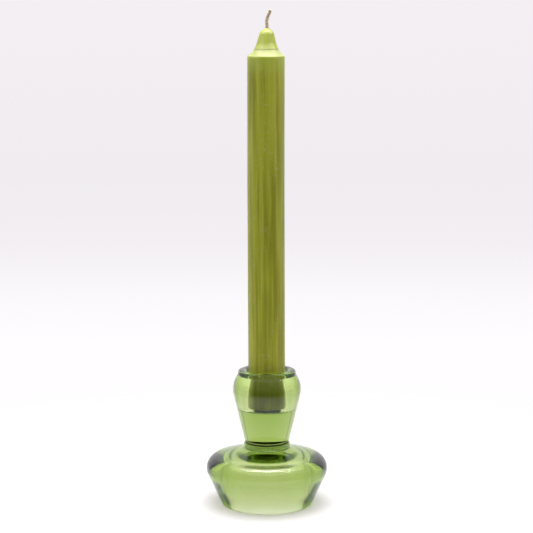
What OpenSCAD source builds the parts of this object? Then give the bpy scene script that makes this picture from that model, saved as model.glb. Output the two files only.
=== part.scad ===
// Glass candlestick with a dinner candle: a solid stem with a socket in its head stands
// on a hollow blown base. The candle sits on a pad of soft putty and lifts straight out.
// Millimetres, +Z up, origin at the middle of the foot, on the surface it stands on.

/* [Base] */
// Radius of the base at its widest
base_r = 36.35; // [34:0.05:40]
// Height of the widest ring of the base
base_widest_z = 22; // [20:0.1:26]
// Radius of the round edge between side and shoulder
base_edge_r = 8; // [6:0.1:9]
// Slope of the lower side, from upright, in degrees
side_slope = 25; // [15:0.5:30]
// Slope of the shoulder, from level, in degrees
shoulder_slope = 16.5; // [10:0.5:22]
// Rounding of the foot's outer edge
foot_round = 1.4; // [1:0.1:3]
// Radius of the opening under the base
mouth_r = 24.4; // [20:0.1:25]
// Radius of the hollow under the shoulder
hollow_r = 23.8; // [20:0.1:25]
// Height of the flat roof of the hollow
hollow_h = 24.5; // [20:0.1:26]
// Radius of the flat part of that roof
roof_r = 16; // [12:0.5:18]

/* [Neck] */
// Height of the seam between stem and base
neck_z = 38.1; // [36:0.1:42]
// Radius of the stem just above the base
neck_r = 13.2; // [11:0.1:15]
// Height of the bead of glass that runs round the neck
bead_h = 2.3; // [1:0.1:4]
// Depth of the crease between the bead and the stem
crease = 1.0; // [0.4:0.1:2]
// Width of that crease
crease_w = 0.8; // [0.5:0.1:1.2]

/* [Stem and socket] */
// Radius of the head at its widest
head_r = 20.25; // [18:0.05:24]
// Height of the widest ring of the head
head_z = 70; // [66:0.5:74]
// Overall height of the glass
glass_h = 82; // [78:0.5:90]
// Radius of the rim's crest
rim_r = 13.9; // [13:0.1:15]
// Radius of the rim's outer edge
lip_r = 17.3; // [16.5:0.1:18]
// Radius of the socket
socket_r = 11.75; // [11.3:0.05:12.5]
// Depth of the socket below the rim
socket_depth = 23.8; // [18:0.1:26]

/* [Candle] */
// Diameter of the candle
candle_d = 22; // [20:0.5:22]
// Length of the straight body of the candle
candle_body = 207.5; // [120:0.1:260]
// Length of the shaped tip
tip_h = 16.2; // [12:0.2:24]
// Rounding of the bottom edge
candle_round = 2; // [0.5:0.1:4]
// Diameter of the wick
wick_d = 2; // [1.4:0.1:2.6]
// Thickness of the putty pad
pad_h = 2.1; // [1:0.1:3]
// Radius of the putty pad
pad_r = 7.8; // [4:0.1:10]

/* [Hidden] */
$fn = 96;
wick_gap = 0.05;                            // between the wick and its hole in the wax
socket_floor = glass_h - socket_depth;
candle_r = candle_d / 2;
candle_z = socket_floor + pad_h;
candle_shoulder = candle_z + candle_body;
candle_top = candle_shoulder + tip_h;
edge_x = base_r - base_edge_r;              // centre of the base's round edge

// Points on an arc round c from angle a0 to a1, in n steps
function arc(c, r, a0, a1, n) =
    [for (i = [0 : n]) let (a = a0 + (a1 - a0) * i / n) c + r * [cos(a), sin(a)]];

// Points on a cubic curve, in n steps
function curve(p, n) =
    [for (i = [0 : n]) let (t = i / n, u = 1 - t)
        u * u * u * p[0] + 3 * u * u * t * p[1] + 3 * u * t * t * p[2] + t * t * t * p[3]];

// Outer side of the base, from the edge of the foot up to the crease
side_start = [edge_x, base_widest_z] + base_edge_r * [cos(-side_slope), sin(-side_slope)];
foot_c = [side_start.x - (side_start.y - foot_round) * tan(side_slope)
          - foot_round * (1 / cos(side_slope)), foot_round];
shoulder_end = [edge_x, base_widest_z]
    + base_edge_r * [cos(90 - shoulder_slope), sin(90 - shoulder_slope)];
bead_z = neck_z - bead_h;
crease_r = neck_r - crease;
crease_low = neck_z - crease_w / 2;
crease_high = neck_z + crease_w / 2;
neck_foot = [neck_r + 2, shoulder_end.y + (shoulder_end.x - neck_r - 2) * tan(shoulder_slope)];
base_outside = concat(
    arc(foot_c, foot_round, -90, -side_slope, 6),
    arc([edge_x, base_widest_z], base_edge_r, -side_slope, 90 - shoulder_slope, 24),
    curve([neck_foot, neck_foot + [-1.2, 0.36], [neck_r + 0.1, bead_z - 0.5], [neck_r + 0.2, bead_z]], 5),
    curve([[neck_r + 0.35, bead_z + 0.2], [neck_r + 1.0, bead_z + 1.0],
           [neck_r + 0.7, crease_low], [neck_r - 0.5, crease_low]], 8),
    [[crease_r, crease_low], [crease_r, neck_z]]);

// The hollow, open underneath: a flat roof, a rounded corner and a wall that widens to the mouth
corner_h = 6;
wall_end = 10;
mouth_edge = 0.8;
base_hollow = concat(
    [[0, hollow_h]],
    curve([[roof_r, hollow_h], [roof_r + 0.55 * (hollow_r - roof_r), hollow_h],
           [hollow_r, hollow_h - 0.45 * corner_h], [hollow_r, hollow_h - corner_h]], 12),
    [[hollow_r, wall_end + 3], [mouth_r, mouth_edge + 1]],
    arc([mouth_r + mouth_edge, mouth_edge], mouth_edge, 180, 270, 5));

// Half outline of the solid stem and its head, from the seam up to the mouth of the socket
cone_top = [head_r - 1.25, head_z - 7];
under_lip = [lip_r + 0.45, glass_h - 3.4];
stem_outline = concat(
    [[0, neck_z], [crease_r, neck_z]],
    [[crease_r, crease_high]],
    curve([[neck_r - 0.7, crease_high], [neck_r, crease_high], [neck_r + 0.15, crease_high + 0.3],
           [neck_r + 0.3, crease_high + 0.9]], 6),
    curve([cone_top, cone_top + [0.9, 3.9], [head_r, head_z - 2.4], [head_r, head_z]], 10),
    curve([[head_r, head_z], [head_r, head_z + 4.2], under_lip + [1.1, -2.2], under_lip], 10),
    curve([under_lip, [lip_r - 0.15, glass_h - 2.8], [lip_r, glass_h - 2.5], [lip_r, glass_h - 1.9]], 5),
    curve([[lip_r, glass_h - 1.9], [lip_r, glass_h - 0.3], [rim_r + 2.6, glass_h], [rim_r, glass_h]], 9),
    curve([[rim_r, glass_h], [rim_r - 1.4, glass_h], [socket_r, glass_h - 0.6], [socket_r, glass_h - 1.9]], 8),
    [[0, glass_h - 1.9]]);

// Half outline of the candle: straight body, hollow flare at the shoulder and a round nose
wax_outline = concat(
    [[0, candle_z]],
    arc([candle_r - candle_round, candle_z + candle_round], candle_round, -90, 0, 6),
    curve([[candle_r, candle_shoulder], [candle_r - 2.6, candle_shoulder + 2],
           [candle_r * 0.56, candle_shoulder + 5], [candle_r * 0.5, candle_shoulder + tip_h * 0.56]], 10),
    curve([[candle_r * 0.5, candle_shoulder + tip_h * 0.56],
           [candle_r * 0.44, candle_shoulder + tip_h * 0.75],
           [candle_r * 0.4, candle_top], [wick_d * 0.5 + 0.3, candle_top]], 10),
    [[0, candle_top]]);

// Route of the wick: straight through the wax, then a loose bend to a hooked end
wick_route = [
    [0, 0, candle_z + 1], [0, 0, candle_top - 1], [0, 0, candle_top + 0.4],
    [0, 0.1, candle_top + 2], [-0.1, 0.2, candle_top + 3.5], [-0.1, 0.2, candle_top + 5],
    [0.3, 0.1, candle_top + 6.6], [0.9, -0.1, candle_top + 8], [1.5, -0.3, candle_top + 9.2],
    [1.8, -0.4, candle_top + 10.2], [1.5, -0.5, candle_top + 11]];
wick_sides = 10;

// Direction of the route at point i
function along(p, i) = let (d = p[min(i + 1, len(p) - 1)] - p[max(i - 1, 0)]) d / norm(d);

// One ring of points round point i of a route
function ring(p, i, r, n) =
    let (d = along(p, i), side = cross([0, 1, 0], d), u = side / norm(side), v = cross(d, u))
    [for (k = [0 : n - 1]) p[i] + r * (cos(360 * k / n) * u + sin(360 * k / n) * v)];

// A cord of radius r along a route
module cord(p, r, n) {
    rings = len(p);
    points = [for (i = [0 : rings - 1]) each ring(p, i, r, n)];
    sides = [for (i = [0 : rings - 2], k = [0 : n - 1])
        [i * n + k, (i + 1) * n + k, (i + 1) * n + (k + 1) % n, i * n + (k + 1) % n]];
    polyhedron(points, concat([[for (k = [0 : n - 1]) k]], sides,
        [[for (k = [n - 1 : -1 : 0]) (rings - 1) * n + k]]), convexity = 4);
}

// Solid stem whose head holds the candle
module candle_cup() {
    color([0.55, 0.72, 0.28, 0.5])
    difference() {
        rotate_extrude() polygon(stem_outline);
        translate([0, 0, socket_floor]) cylinder(h = socket_depth, r = socket_r);
    }
}

// Blown base, open underneath
module hollow_base() {
    color([0.66, 0.78, 0.45, 0.5])
    rotate_extrude()
    polygon(concat([[0, neck_z]], [for (i = [len(base_outside) - 1 : -1 : 0]) base_outside[i]],
        [for (i = [len(base_hollow) - 1 : -1 : 0]) base_hollow[i]]));
}

// Putty that beds the candle on the floor of the socket
module fixing_pad() {
    color([0.25, 0.33, 0.36])
    translate([0, 0, socket_floor]) cylinder(h = pad_h, r = pad_r);
}

// Candle, with the hole that its wick runs through
module candle_wax() {
    color([0.47, 0.46, 0.14])
    difference() {
        rotate_extrude() polygon(wax_outline);
        translate([0, 0, candle_z - 1]) cylinder(h = candle_top - candle_z + 2, r = wick_d / 2 + wick_gap);
    }
}

// Braided wick, from just above the foot of the candle to its free end
module wick() {
    color([0.78, 0.7, 0.5]) cord(wick_route, wick_d / 2, wick_sides);
}

candle_cup();
hollow_base();
fixing_pad();
candle_wax();
wick();
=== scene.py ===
import math

import bmesh
import bpy
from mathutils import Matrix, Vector, noise


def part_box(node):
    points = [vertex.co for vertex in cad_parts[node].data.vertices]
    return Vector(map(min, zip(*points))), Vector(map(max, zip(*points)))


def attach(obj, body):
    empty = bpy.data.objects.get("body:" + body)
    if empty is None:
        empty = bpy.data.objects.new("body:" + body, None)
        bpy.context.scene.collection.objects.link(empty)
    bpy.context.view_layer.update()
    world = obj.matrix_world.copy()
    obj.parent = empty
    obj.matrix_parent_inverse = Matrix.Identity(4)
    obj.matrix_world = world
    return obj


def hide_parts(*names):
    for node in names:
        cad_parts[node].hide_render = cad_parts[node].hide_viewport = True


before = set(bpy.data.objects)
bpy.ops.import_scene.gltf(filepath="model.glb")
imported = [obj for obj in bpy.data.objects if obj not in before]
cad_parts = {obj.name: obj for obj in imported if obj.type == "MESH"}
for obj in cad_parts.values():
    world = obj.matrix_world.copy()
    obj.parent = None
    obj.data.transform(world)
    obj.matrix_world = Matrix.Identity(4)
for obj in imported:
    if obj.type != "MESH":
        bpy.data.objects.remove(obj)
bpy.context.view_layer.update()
scene = bpy.context.scene


class Sock:
    # an output socket of a node tree; sums on it add Math nodes
    def __init__(self, tree, out=None):
        self.tree = tree
        self.out = out

    def node(self, kind, settings=None, values=None, pick=0):
        made = self.tree.nodes.new(kind)
        for key, value in (settings or {}).items():
            if key == "stops":
                while len(made.color_ramp.elements) < len(value):
                    made.color_ramp.elements.new(0.5)
                for stop, (place, colour) in zip(made.color_ramp.elements, value):
                    stop.position = place
                    stop.color = colour
            else:
                setattr(made, key, value)
        for key, value in (values or {}).items():
            if isinstance(value, Sock):
                self.tree.links.new(value.out, made.inputs[key])
            else:
                made.inputs[key].default_value = value
        return Sock(self.tree, made.outputs[pick] if len(made.outputs) else None)

    def maths(self, operation, *values):
        return self.node("ShaderNodeMath", {"operation": operation}, dict(enumerate(values)))

    def __add__(self, other):
        return self.maths("ADD", self, other)

    def __sub__(self, other):
        return self.maths("SUBTRACT", self, other)

    def __rsub__(self, other):
        return self.maths("SUBTRACT", other, self)

    def __mul__(self, other):
        return self.maths("MULTIPLY", self, other)

    def __abs__(self):
        return self.maths("ABSOLUTE", self)

    __radd__ = __add__
    __rmul__ = __mul__

    def step(self, low, high):             # soft step from 0 below low to 1 above high
        return self.node("ShaderNodeMapRange", {"interpolation_type": "SMOOTHSTEP"},
                         {0: self, 1: low, 2: high, 3: 0.0, 4: 1.0})

    def tint(self, first, second):         # colour blend, with this value as the mask
        return self.node("ShaderNodeMix", {"data_type": "RGBA"},
                         {0: self, 6: first, 7: second}, pick=2)

    def xyz(self):
        split = self.node("ShaderNodeSeparateXYZ", values={0: self}).out.node
        return [Sock(self.tree, out) for out in split.outputs]

    def grain(self, size, detail=2.0, stretch=(1, 1, 1), shift=(0, 0, 0)):
        # noise whose lumps are about size metres across, on this vector
        placed = self.node("ShaderNodeMapping", {"vector_type": "POINT"},
                           {"Vector": self, "Scale": stretch, "Location": shift})
        return self.node("ShaderNodeTexNoise", values={
            "Vector": placed, "Scale": 1 / size, "Detail": detail, "Roughness": 0.55})

    def bump(self, depth, strength=1.0):
        return self.node("ShaderNodeBump", values={
            "Height": self, "Distance": depth, "Strength": strength})


def newMaterial(name, paint):
    # paint(start, at) returns the values of the shader's sockets and, for glass, its absorption
    material = bpy.data.materials.new(name)
    material.use_nodes = True
    tree = material.node_tree
    tree.nodes.clear()
    start = Sock(tree)
    at = start.node("ShaderNodeTexCoord", pick="Object")
    values, absorb = paint(start, at)
    shader = start.node("ShaderNodeBsdfPrincipled", values=values)
    ends = {"Surface": shader}
    if absorb:
        ends["Volume"] = start.node("ShaderNodeVolumeAbsorption", values=absorb)
    start.node("ShaderNodeOutputMaterial", values=ends)
    return material


def arc(centre, radius, fromDeg, toDeg, steps):
    turns = [math.radians(fromDeg + (toDeg - fromDeg) * i / steps) for i in range(steps + 1)]
    return [(centre[0] + radius * math.cos(a), centre[1] + radius * math.sin(a)) for a in turns]


def curve(points, steps):
    result = []
    for i in range(steps + 1):
        t = i / steps
        u = 1 - t
        weights = (u * u * u, 3 * u * u * t, 3 * u * t * t, t * t * t)
        result.append(tuple(sum(w * p[k] for w, p in zip(weights, points)) for k in range(2)))
    return result


def fill(outline, gap):
    # the outline with long straight stretches cut into steps no longer than gap
    result = [outline[0]]
    for point in outline[1:]:
        last = result[-1]
        away = math.dist(last, point)
        if away < 1e-6:
            continue
        count = max(1, math.ceil(away / gap))
        for i in range(1, count + 1):
            result.append(tuple(a + (b - a) * i / count for a, b in zip(last, point)))
    return result


def lathe(bm, outline, sides, shape=None):
    # turns an outline of (radius, height) in mm about Z; shape may move each point
    rings = []
    for radius, height in outline:
        count = 1 if radius < 1e-6 else sides
        ring = []
        for k in range(count):
            a = 2 * math.pi * k / sides
            point = Vector((radius * math.cos(a), radius * math.sin(a), height))
            ring.append(bm.verts.new((shape(point) if shape else point) / 1000))
        rings.append(ring)
    for low, high in zip(rings, rings[1:] + rings[:1]):
        for k in range(sides):
            corners = [low[k % len(low)], low[(k + 1) % len(low)],
                       high[(k + 1) % len(high)], high[k % len(high)]]
            corners = list(dict.fromkeys(corners))
            if len(corners) > 2:
                bm.faces.new(corners)


def tube(bm, path, radius, sides):
    # a round tube along path (mm), closed at both ends; radius is a function of 0..1
    rings = []
    side = Vector((0, 1, 0))
    for i, point in enumerate(path):
        ahead = (path[min(i + 1, len(path) - 1)] - path[max(i - 1, 0)]).normalized()
        side = (side - ahead * side.dot(ahead)).normalized()
        other = ahead.cross(side)
        r = radius(i / (len(path) - 1))
        turns = [2 * math.pi * k / sides for k in range(sides)]
        rings.append([bm.verts.new((point + (side * math.cos(a) + other * math.sin(a)) * r) / 1000)
                      for a in turns])
    for low, high in zip(rings, rings[1:]):
        for k in range(sides):
            bm.faces.new([low[k], low[(k + 1) % sides], high[(k + 1) % sides], high[k]])
    bm.faces.new(rings[0][::-1])
    bm.faces.new(rings[-1])


def finishMesh(bm, name, material, sharp=35, inner=()):
    # inner holds the faces of hollow bubbles, which face the other way
    bm.normal_update()
    shell = [f for f in bm.faces if f not in inner]
    bmesh.ops.recalc_face_normals(bm, faces=shell)
    if inner:
        bmesh.ops.recalc_face_normals(bm, faces=list(inner))
        bmesh.ops.reverse_faces(bm, faces=list(inner))
    for face in bm.faces:
        face.smooth = True
    for edge in bm.edges:
        if len(edge.link_faces) == 2 and edge.calc_face_angle(0) > math.radians(sharp):
            edge.smooth = False
    mesh = bpy.data.meshes.new(name)
    bm.to_mesh(mesh)
    bm.free()
    mesh.materials.append(material)
    piece = bpy.data.objects.new(name, mesh)
    scene.collection.objects.link(piece)
    return piece


def boxOf(node):
    low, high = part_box(node)
    return low * 1000, high * 1000


cupHigh = boxOf("candle_cup")[1]
baseHigh = boxOf("hollow_base")[1]
padLow, padHigh = boxOf("fixing_pad")
waxLow, waxHigh = boxOf("candle_wax")
wickLow, wickHigh = boxOf("wick")


glass = {                     # sizes in mm
    "sides": 288,
    "facet": 1.2,             # longest step along the outline
    "edgeRadius": 8.0,        # round edge between the side and the shoulder
    "edgeHeight": 22.0,
    "sideSlope": 25.0,
    "shoulderSlope": 16.5,
    "footRound": 1.4,
    "neckRadius": 13.2,
    "beadHeight": 2.3,
    "creaseDepth": 1.0,
    "creaseWidth": 1.0,
    "mouthRadius": 24.4,      # hollow of the base
    "hollowRadius": 23.8,
    "hollowHeight": 24.5,
    "roofRadius": 16.0,
    "lipRadius": 17.3,        # rim of the head
    "rimRadius": 13.9,
    "headHeight": 70.0,
    "socketRadius": 11.75,
    "ringBack": 0.03,         # room behind, in front of and beside the dark ring in the crease
    "ringFront": 0.12,
    "ringBeside": 0.04,
    "ringSides": 192,
    "ior": 1.52,
    # the ring's near-black colour and its faint flecks are painted shade for the dark line in the
    # crease
    "ringShadeColour": (0.003, 0.003, 0.003, 1),
    "ringShadeFlecks": (0.012, 0.011, 0.009, 1),
    "absorbColour": (0.665, 0.775, 0.23, 1),
    "absorbDensity": 100.0,    # per metre
}


def baseOutside():
    g = glass
    edgeX = baseHigh.x - g["edgeRadius"]
    edgeZ = g["edgeHeight"]
    slope, rise = math.radians(g["sideSlope"]), math.radians(g["shoulderSlope"])
    sideX = edgeX + g["edgeRadius"] * math.cos(slope)
    sideZ = edgeZ - g["edgeRadius"] * math.sin(slope)
    footR = g["footRound"]
    foot = (sideX - (sideZ - footR) * math.tan(slope) - footR / math.cos(slope), footR)
    endX = edgeX + g["edgeRadius"] * math.sin(rise)
    endZ = edgeZ + g["edgeRadius"] * math.cos(rise)
    neckR, neckZ = g["neckRadius"], baseHigh.z
    beadZ = neckZ - g["beadHeight"]
    creaseLow = neckZ - g["creaseWidth"] / 2
    start = (neckR + 2, endZ + (endX - neckR - 2) * math.tan(rise))
    return (arc(foot, footR, -90, -g["sideSlope"], 10)
            + arc((edgeX, edgeZ), g["edgeRadius"], -g["sideSlope"], 90 - g["shoulderSlope"], 48)
            + curve([start, (start[0] - 1.2, start[1] + 0.36), (neckR + 0.1, beadZ - 0.5),
                     (neckR + 0.2, beadZ)], 10)
            + curve([(neckR + 0.35, beadZ + 0.2), (neckR + 1.0, beadZ + 1.0),
                     (neckR + 0.7, creaseLow), (neckR - 0.5, creaseLow)], 14)
            + [(neckR - g["creaseDepth"], creaseLow), (neckR - g["creaseDepth"], neckZ)])


def baseHollow():
    g = glass
    top, wall, roof, mouth = g["hollowHeight"], g["hollowRadius"], g["roofRadius"], g["mouthRadius"]
    return ([(0, top)]
            + curve([(roof, top), (roof + 0.55 * (wall - roof), top),
                     (wall, top - 2.7), (wall, top - 6)], 24)
            + curve([(wall, 14), (wall, 12), (wall, 11), (wall + 0.05, 9.5)], 6)
            + [(mouth, 1.8)]
            + arc((mouth + 0.8, 0.8), 0.8, 180, 270, 8))


def headOutside():
    g = glass
    neckR, neckZ, top = g["neckRadius"], baseHigh.z, cupHigh.z
    headR, headZ, lip, rim = cupHigh.x, g["headHeight"], g["lipRadius"], g["rimRadius"]
    coneTop = (headR - 1.25, headZ - 7)
    under = (lip + 0.45, top - 3.4)
    bore = g["socketRadius"]
    creaseHigh = neckZ + g["creaseWidth"] / 2
    return ([(neckR - g["creaseDepth"], neckZ), (neckR - g["creaseDepth"], creaseHigh)]
            + curve([(neckR - 0.7, creaseHigh), (neckR, creaseHigh), (neckR + 0.15, creaseHigh + 0.3),
                     (neckR + 0.3, creaseHigh + 0.9)], 12)
            + curve([coneTop, (coneTop[0] + 0.9, coneTop[1] + 3.9), (headR, headZ - 2.4),
                     (headR, headZ)], 20)
            + curve([(headR, headZ), (headR, headZ + 4.2), (under[0] + 1.1, under[1] - 2.2), under], 20)
            + curve([under, (lip - 0.15, top - 2.8), (lip, top - 2.5), (lip, top - 1.9)], 8)
            + curve([(lip, top - 1.9), (lip, top - 0.3), (rim + 2.6, top), (rim, top)], 18)
            + curve([(rim, top), (rim - 1.4, top), (bore, top - 0.6), (bore, top - 1.9)], 16))


def socketInside():
    # from the lip down the bore to the middle of its floor
    bore, floorZ = glass["socketRadius"], padLow.z
    return [(bore, floorZ + 1.0)] + arc((bore - 1.0, floorZ + 1.0), 1.0, 0, -90, 8) + [(0, floorZ)]


def paintGlass(start, at):
    smears = at.grain(0.018, 3.0).step(0.52, 0.72)
    ripple = at.grain(0.012, 1.0, stretch=(1, 1, 0.45))
    return {
        "Base Color": smears.tint((1, 1, 1, 1), (0.985, 0.995, 0.97, 1)),
        "Roughness": smears * 0.012,
        "IOR": glass["ior"],
        "Transmission Weight": 1.0,
        "Normal": ripple.bump(0.00003, 0.6),
    }, {"Color": glass["absorbColour"], "Density": glass["absorbDensity"]}


seeds = [   # (x, y, z, radius, stretch along Z) of small bubbles in the glass, in mm
    (12.6, -14.0, 67.0, 0.28, 1.3),
    (21.6, -15.0, 26.0, 0.22, 7.0),
    (4.5, -17.0, 75.5, 0.45, 0.6),
    (-9.0, 11.0, 61.0, 0.22, 1.4),
    (6.0, 9.5, 47.0, 0.25, 1.2),
    (-14.0, -25.0, 17.5, 0.25, 1.6),
    (-25.0, 14.0, 24.0, 0.3, 1.3),
    (17.0, 22.0, 25.5, 0.24, 1.5),
]


def bubble(bm, x, y, z, radius, stretch):
    # adds a small hollow ball and returns its faces
    before = len(bm.faces)
    rise = [math.radians(a) for a in range(-72, 73, 18)]
    ball = [(0, -radius * stretch)]
    ball += [(radius * math.cos(a), radius * stretch * math.sin(a)) for a in rise]
    ball += [(0, radius * stretch)]
    lathe(bm, ball, 14, lambda point: point + Vector((x, y, z)))
    bm.faces.ensure_lookup_table()
    return bm.faces[before:]


def makeGlass():
    # stem and base are one skin of glass, so that light passes the seam between them
    skin = socketInside()[::-1] + headOutside()[::-1] + baseOutside()[::-1] + baseHollow()[::-1]
    bm = bmesh.new()
    lathe(bm, fill(skin, glass["facet"]), glass["sides"])
    bubbles = set()
    for seed in seeds:
        bubbles.update(bubble(bm, *seed))
    piece = finishMesh(bm, "fusedGlass", newMaterial("clearGreenGlass", paintGlass), 40, bubbles)
    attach(piece, "holder")
    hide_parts("candle_cup", "hollow_base")


def paintCreaseShade(start, at):
    # painted shade: near black with faint flecks, for the dark line in the crease
    shadeFlecks = at.grain(0.0006, 3.0)
    return {
        "Base Color": shadeFlecks.step(0.4, 0.7).tint(glass["ringShadeColour"], glass["ringShadeFlecks"]),
        "Roughness": 0.45 + shadeFlecks * 0.3,
        "Normal": shadeFlecks.bump(0.0001, 0.5),
    }, None


def makeCreaseLine():
    # a thin ring of painted shade, near black, that fills the crease between stem and base, clear of
    # the glass; it stands in for the dark line that shade makes there
    g = glass
    z, reach = baseHigh.z, g["creaseWidth"] / 2 - g["ringBeside"]
    inner = g["neckRadius"] - g["creaseDepth"] + g["ringBack"]
    outer = g["neckRadius"] - g["ringFront"]
    bm = bmesh.new()
    lathe(bm, [(inner, z - reach), (outer - 0.1, z - reach)]
          + arc((outer - reach, z), reach, -60, 60, 6)
          + [(outer - 0.1, z + reach), (inner, z + reach)], g["ringSides"])
    piece = finishMesh(bm, "creaseLine", newMaterial("paintedCreaseShade", paintCreaseShade), 60)
    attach(piece, "holder")


makeCreaseLine()
makeGlass()
print("glass made")


putty = {
    "colour": (0.055, 0.085, 0.075, 1),
    "paleColour": (0.10, 0.135, 0.12, 1),
    "uneven": 0.7,            # how far the pressed edge wanders, mm
    "gap": 0.03,              # between the pad and what it touches, mm
    "sides": 96,
}


def paintPutty(start, at):
    lumps = at.grain(0.0016, 4.0)
    return {
        "Base Color": lumps.step(0.35, 0.7).tint(putty["colour"], putty["paleColour"]),
        "Roughness": 0.55 + lumps * 0.3,
        "Normal": lumps.bump(0.0003, 0.7),
    }, None


def pressed(point):
    turn = math.atan2(point.y, point.x)
    out = math.hypot(point.x, point.y)
    if out < 0.1:
        return point
    wander = noise.noise(Vector((math.cos(turn) * 1.3, math.sin(turn) * 1.3, 4.2)))
    grow = 1 + (wander - 0.35) * putty["uneven"] / padHigh.x * min(1, out / padHigh.x)
    return Vector((point.x * grow, point.y * grow, point.z))


def makePutty():
    low, high, r = padLow.z + putty["gap"], padHigh.z - putty["gap"], padHigh.x
    edge = arc((r - 0.72, (low + high) / 2), (high - low) / 2, -80, 80, 10)
    outline = fill([(0, low), (r - 0.9, low)], 1.0) + edge + fill([(r - 0.9, high), (0, high)], 1.0)
    bm = bmesh.new()
    lathe(bm, outline, putty["sides"], pressed)
    piece = finishMesh(bm, "puttyPad", newMaterial("greyPutty", paintPutty), 60)
    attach(piece, "holder")
    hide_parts("fixing_pad")


makePutty()
print("putty made")


wax = {
    "sides": 128,
    "tipHeight": 16.2,
    "bow": 0.58,              # how far the candle bows to the left, mm
    "bowTurn": 2.05,          # how much of the bow's half wave fits in its length, radians
    "noseShift": 0.55,        # the shaped tip sits back towards the right, mm
    "hole": 1.08,             # radius of the hole for the wick
    "colour": (0.405, 0.414, 0.038, 1),
    "deepColour": (0.255, 0.262, 0.018, 1),
    "paintedGlowColour": (0.41, 0.47, 0.06, 1),   # painted glow: lighter green for light coming through the thin wax at the shoulder and tip
    # pale wax bloom on scuffs and streaks; the same colour paints the glow on the flare
    "bloomAndGlowColour": (0.46, 0.48, 0.22, 1),
}


def paintWax(start, at):
    shoulder = (waxHigh.z - wax["tipHeight"]) / 1000
    height = at.xyz()[2]
    streaks = at.grain(0.0022, 3.0, stretch=(1, 1, 0.035))
    broad = at.grain(0.007, 2.0, stretch=(1, 1, 0.12), shift=(0.3, 0.1, 0))
    specks = at.grain(0.0011, 5.0, stretch=(1, 1, 0.5), shift=(0.7, 0.2, 0.4))
    patches = at.grain(0.0085, 1.0, shift=(1.3, 0.6, 0.2)).step(0.50, 0.62)
    loops = at.grain(0.0042, 1.5, shift=(0.2, 0.9, 0.1))
    rubs = (1 - abs(loops - 0.5).step(0.004, 0.018)) * patches      # thin curled rub marks
    dots = at.grain(0.0009, 1.0, shift=(0.5, 0.5, 0.1)).step(0.70, 0.78)
    scuffs = start.maths("MAXIMUM", specks.step(0.60, 0.74) * broad.step(0.42, 0.66),
                         start.maths("MAXIMUM", rubs * 0.75, dots * 0.8))
    body = (streaks * 0.6 + broad * 0.4).step(0.36, 0.62).tint(wax["deepColour"], wax["colour"])
    # painted glow: from 14 mm below the shoulder upwards the wax is painted lighter for light through
    # the thin wax
    paintedGlow = height.step(shoulder - 0.014, shoulder + 0.001)
    body = (paintedGlow * 0.8).tint(body, wax["paintedGlowColour"])
    flare = height.step(shoulder - 0.0002, shoulder + 0.0006) \
        * (1 - height.step(shoulder + 0.0035, shoulder + 0.0062))
    flareGlow = flare * (0.30 + broad * 0.35)    # painted glow: the flare above the shoulder is painted paler for light coming through the thin wax at its edge
    # real scuffs and streak bloom, with the painted glow of the flare, blended over the body
    scuffsAndGlow = (scuffs * 0.5 + streaks.step(0.60, 0.74) * 0.22 + flareGlow).tint(body, wax["bloomAndGlowColour"])
    relief = streaks * 0.35 + specks * 0.4 + at.grain(0.0005, 2.0) * 0.25
    return {
        "Base Color": scuffsAndGlow,
        "Roughness": 0.36 + scuffs * 0.25 + streaks * 0.08,
        "IOR": 1.44,
        "Specular IOR Level": 0.33,
        "Subsurface Weight": 0.25,
        "Subsurface Radius": (0.005, 0.0052, 0.0010),
        "Subsurface Scale": 1.0,
        "Normal": relief.bump(0.00012, 0.55),
    }, None


def lean(height):
    # sideways place of the candle's middle line at a height, mm
    share = max(0, (height - waxLow.z) / (waxHigh.z - waxLow.z))
    nose = max(0, height - waxHigh.z + wax["tipHeight"]) / wax["tipHeight"]
    return -wax["bow"] * math.sin(wax["bowTurn"] * min(share, 1.0)) + wax["noseShift"] * min(nose, 1.0)


def bowed(point):
    wander = noise.noise(Vector((point.x * 0.12, point.y * 0.12, point.z * 0.03)))
    out = math.hypot(point.x, point.y)
    grow = 1 + (0.06 * (wander - 0.5) / out if out > 2 else 0)
    return Vector((point.x * grow + lean(point.z), point.y * grow, point.z))


def waxOutline():
    r, low, top = waxHigh.x, waxLow.z, waxHigh.z
    s = top - wax["tipHeight"]
    hole = wax["hole"]
    return ([(hole, low)]
            + arc((r - 2, low + 2), 2, -90, 0, 10)
            + fill([(r, low + 2), (r, s - 0.15)], 2.2)[1:]
            + curve([(r, s - 0.15), (r, s + 0.15), (r - 0.1, s + 0.35), (r - 0.35, s + 0.5)], 6)[1:]
            + curve([(r - 0.35, s + 0.5), (r - 2.5, s + 2.0), (7.5, s + 3.4), (7.12, s + 4.3)], 12)[1:]
            + [(7.16, s + 4.5), (7.14, s + 4.7), (6.98, s + 4.85)]      # mark left by the mould
            + curve([(6.98, s + 4.85), (6.3, s + 6.2), (5.75, s + 7.4), (5.4, s + 9.0)], 10)[1:]
            + curve([(5.4, s + 9.0), (5.0, s + 10.6), (4.7, s + 11.6), (4.4, s + 12.9)], 10)[1:]
            + curve([(4.4, s + 12.9), (4.0, s + 14.4), (3.3, s + 14.9), (2.4, s + 15.5)], 10)[1:]
            + curve([(2.4, s + 15.5), (1.8, top - 0.25), (1.6, top), (hole + 0.25, top)], 5)[1:]
            + [(hole, top - 0.3)]
            + fill([(hole, top - 0.3), (hole, low)], 6.0)[1:-1])


def makeWax():
    bm = bmesh.new()
    lathe(bm, waxOutline(), wax["sides"], bowed)
    piece = finishMesh(bm, "candleWax", newMaterial("oliveWax", paintWax), 50)
    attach(piece, "candle")
    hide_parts("candle_wax")


makeWax()
print("candle wax made")


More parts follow.
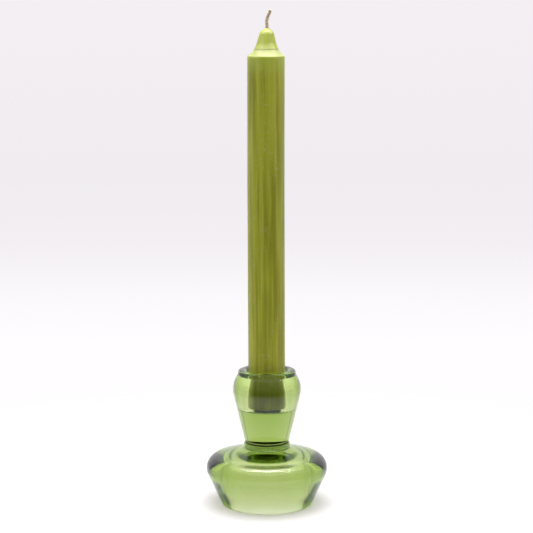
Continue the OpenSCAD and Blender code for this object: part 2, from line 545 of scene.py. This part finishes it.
wick = {
    "strandRadius": 0.43,
    "sway": 0.55,             # how far a strand swings to each side, mm
    "depth": 0.28,
    "pitch": 3.4,             # length of one full plait, mm
    "step": 0.28,             # between the rings of a strand, mm
    "insidePoints": 24,
    "free": [                 # free end above the wax: (x, y, height above the wax), mm
        (0, 0, 0.4), (0, 0.1, 2.0), (-0.1, 0.2, 3.5), (-0.1, 0.2, 5.0), (0.3, 0.1, 6.6),
        (0.9, -0.1, 8.0), (1.5, -0.3, 9.2), (1.8, -0.4, 10.2), (1.5, -0.5, 11.0)],
    "colour": (0.66, 0.52, 0.31, 1),
    "shadeColour": (0.36, 0.25, 0.12, 1),
    "paleColour": (0.86, 0.78, 0.62, 1),
}


def paintWick(start, at):
    fibres = at.grain(0.00022, 3.0, stretch=(1, 1, 0.3))
    tufts = at.grain(0.0009, 2.0, shift=(0.4, 0, 0.9))
    soaked = tufts.step(0.38, 0.62).tint(wick["shadeColour"], wick["colour"])
    return {
        "Base Color": (fibres.step(0.48, 0.66) * 0.75).tint(soaked, wick["paleColour"]),
        "Roughness": 0.5 + fibres * 0.35,
        "Sheen Weight": 0.25,
        "Normal": fibres.bump(0.00012, 0.9),
    }, None


def smoothRoute(points, gap):
    # points joined by a smooth curve and spaced gap apart
    dense = []
    for i in range(len(points) - 1):
        p0, p1 = points[max(i - 1, 0)], points[i]
        p2, p3 = points[i + 1], points[min(i + 2, len(points) - 1)]
        steps = max(2, int((p2 - p1).length / 0.05))
        for k in range(steps):
            t = k / steps
            dense.append(0.5 * ((2 * p1) + (p2 - p0) * t + (2 * p0 - 5 * p1 + 4 * p2 - p3) * t * t
                                + (3 * p1 - p0 - 3 * p2 + p3) * t * t * t))
    dense.append(points[-1])
    spaced, carried = [dense[0]], 0.0
    for a, b in zip(dense, dense[1:]):
        carried += (b - a).length
        if carried >= gap:
            spaced.append(b)
            carried = 0.0
    return spaced


def makeWick():
    top = waxHigh.z
    bottom = wickLow.z + 0.3
    count = wick["insidePoints"]
    heights = [bottom + (top - bottom) * i / count for i in range(count)]
    inside = [Vector((lean(height), 0, height)) for height in heights]
    endLean = lean(top)
    outside = [Vector((x + endLean, y, top + z)) for x, y, z in wick["free"]]
    highest = max(p.z for p in outside)
    limit = wickHigh.z - wick["strandRadius"] - 0.1
    outside = [Vector((p.x, p.y, top + (p.z - top) * min(1, (limit - top) / (highest - top))))
               for p in outside]
    route = smoothRoute(inside + outside, wick["step"])
    bm = bmesh.new()
    side = Vector((1, 0, 0))
    frames = []
    for i, point in enumerate(route):
        ahead = (route[min(i + 1, len(route) - 1)] - route[max(i - 1, 0)]).normalized()
        side = (side - ahead * side.dot(ahead)).normalized()
        frames.append((point, side.copy(), ahead.cross(side)))
    for strand in range(3):
        path = []
        for i, (point, across, deep) in enumerate(frames):
            turn = 2 * math.pi * (i * wick["step"] / wick["pitch"] + strand / 3)
            loose = 1 + 0.12 * noise.noise(Vector((i * 0.06, strand * 3.1, 0.5)))
            path.append(point + across * wick["sway"] * loose * math.sin(turn)
                        + deep * wick["depth"] * math.sin(2 * turn))
        tube(bm, path, lambda t: wick["strandRadius"] * (1 if t < 0.992 else 0.8), 8)
    piece = finishMesh(bm, "plaitedWick", newMaterial("waxedCotton", paintWick), 70)
    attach(piece, "candle")
    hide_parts("wick")


makeWick()
print("wick made")


studio = {                    # sizes and places in metres
    "lens": 118.8,
    "cameraPlace": (-0.00025, -1.031, 0.299),
    "cameraDown": 8.54,       # degrees
    "floorColour": (0.93, 0.925, 0.93, 1),
    "floorSpeckle": (0.915, 0.91, 0.92, 1),
    "floorSeen": (0.78, 0.755, 0.765, 1),   # what the camera sees of it, held just under white
    "floorLift": (0.20, 0.19, 0.195, 1),    # keeps its shadows soft
    "floorReach": 0.40,       # where the floor has faded out, metres from the middle
    "floorFade": 0.10,        # and where it starts to fade
    "floorDrop": 0.00005,     # just under the foot
    "wallLight": 0.95,
    "darkSide": 0.05,         # brightness of the unlit side of the room
    "darkTurn": (53.0, 103.0),    # degrees from the front between which the dark side fades out
    "darkHeight": (42.0, 48.0),
    "cornerTurn": 133.4,      # two dim corners of the light tent
    "cornerWidth": (0.72, 1.2),
    "cornerHeight": (50.0, 60.0),
    "skyDepth": 11.0,         # degrees below the horizon where the ramp of the sky starts
    "sky": [                  # what the camera sees behind, from just below the horizon up
        (0.0, (1.0, 0.984, 1.0, 1)), (0.14, (0.97, 0.945, 0.97, 1)), (0.30, (0.895, 0.86, 0.895, 1)),
        (0.50, (0.871, 0.839, 0.871, 1)), (1.0, (0.905, 0.863, 0.896, 1))],
    "strips": (0.01, -0.085),     # how far behind the middle the two rows of lamps hang
    "stripHeight": 0.42,
    "lampPower": 0.22,
    "lampSize": (0.056, 0.012),
    "lampGap": 0.078,
    "lamps": 7,
    "softLights": [           # (name, power, size, place, tilt in degrees), kept out of the reflections
        ("fillLight", 3.2, 0.7, (0, -0.75, 0.85), 43),
        ("topLight", 1.6, 0.35, (0, -0.02, 0.55), 0),
    ],
}


def makeFloor():
    material = bpy.data.materials.new("paleFloor")
    material.use_nodes = True
    tree = material.node_tree
    tree.nodes.clear()
    start = Sock(tree)
    at = start.node("ShaderNodeTexCoord", pick="Object")
    reach = start.node("ShaderNodeVectorMath", {"operation": "LENGTH"}, {0: at}, pick="Value")
    speckle = at.grain(0.004, 3.0)
    direct = start.node("ShaderNodeLightPath", pick="Is Camera Ray")
    pale = (speckle.step(0.3, 0.7) * 0.5).tint(studio["floorColour"], studio["floorSpeckle"])
    surface = start.node("ShaderNodeBsdfPrincipled", values={
        "Base Color": direct.tint(pale, studio["floorSeen"]),
        "Emission Color": direct.tint((0, 0, 0, 1), studio["floorLift"]),
        "Emission Strength": 1.0, "Roughness": 0.6, "Specular IOR Level": 0.2})
    clear = start.node("ShaderNodeBsdfTransparent")
    blended = start.node("ShaderNodeMixShader", values={
        0: reach.step(studio["floorFade"], studio["floorReach"]), 1: surface, 2: clear})
    start.node("ShaderNodeOutputMaterial", values={"Surface": blended})
    r = studio["floorReach"]
    edge = [2 * math.pi * k / 64 for k in range(64)]
    bm = bmesh.new()
    bm.faces.new([bm.verts.new((r * math.cos(a), r * math.sin(a), -studio["floorDrop"])) for a in edge])
    floor = finishMesh(bm, "floor", material)


def makeRoom():
    world = bpy.data.worlds.new("lightTent")
    scene.world = world
    world.use_nodes = True
    tree = world.node_tree
    tree.nodes.clear()
    start = Sock(tree)
    x, y, z = start.node("ShaderNodeTexCoord", pick="Generated").xyz()
    degrees = 180 / math.pi
    turn = abs(start.maths("ARCTAN2", x, 0 - y)) * degrees
    height = start.maths("ARCSINE", z) * degrees
    s = studio
    front = (1 - turn.step(*s["darkTurn"])) * (1 - height.step(*s["darkHeight"]))
    corner = (1 - abs(turn - s["cornerTurn"]).step(*s["cornerWidth"])) \
        * (1 - height.step(*s["cornerHeight"]))
    dark = start.maths("MAXIMUM", front, corner)
    bright = (1 - dark * (1 - s["darkSide"])) * s["wallLight"]
    room = start.node("ShaderNodeBackground", values={0: bright, 1: 1.0})
    sky = start.node("ShaderNodeValToRGB", {"stops": s["sky"]}, {0: height * (1 / s["skyDepth"]) + 1.0})
    seen = start.node("ShaderNodeBackground", values={0: sky, 1: 1.0})
    direct = start.node("ShaderNodeLightPath", pick="Is Camera Ray")
    both = start.node("ShaderNodeMixShader", values={0: direct, 1: room, 2: seen})
    start.node("ShaderNodeOutputWorld", values={"Surface": both})


def hangLight(name, power, size, place, tilt=0):
    lamp = bpy.data.lights.new(name, "AREA")
    lamp.shape = "RECTANGLE"
    lamp.size, lamp.size_y = size
    lamp.energy = power
    holder = bpy.data.objects.new(name, lamp)
    holder.location = place
    holder.rotation_euler = (math.radians(tilt), 0, 0)
    holder.visible_transmission = False
    scene.collection.objects.link(holder)
    return holder


def makeLamps():
    s = studio
    middle = (s["lamps"] - 1) / 2
    for depth in s["strips"]:
        for i in range(s["lamps"]):
            place = ((i - middle) * s["lampGap"], depth, s["stripHeight"])
            lamp = hangLight("stripLamp", s["lampPower"], s["lampSize"], place)
            lamp.visible_diffuse = False      # these only make the shine on the glass
    for name, power, size, place, tilt in s["softLights"]:
        soft = hangLight(name, power, (size, size), place, tilt)
        soft.visible_glossy = False


def makeCamera():
    camera = bpy.data.cameras.new("camera")
    camera.sensor_width = 36.0
    camera.lens = studio["lens"]
    camera.clip_start = 0.01
    holder = bpy.data.objects.new("camera", camera)
    holder.location = studio["cameraPlace"]
    holder.rotation_euler = (math.radians(90 - studio["cameraDown"]), 0, 0)
    scene.collection.objects.link(holder)
    scene.camera = holder


makeFloor()
makeRoom()
makeLamps()
makeCamera()
scene.view_settings.view_transform = "Standard"
scene.cycles.max_bounces = 24
scene.cycles.transmission_bounces = 20
scene.cycles.glossy_bounces = 8
print("studio made")
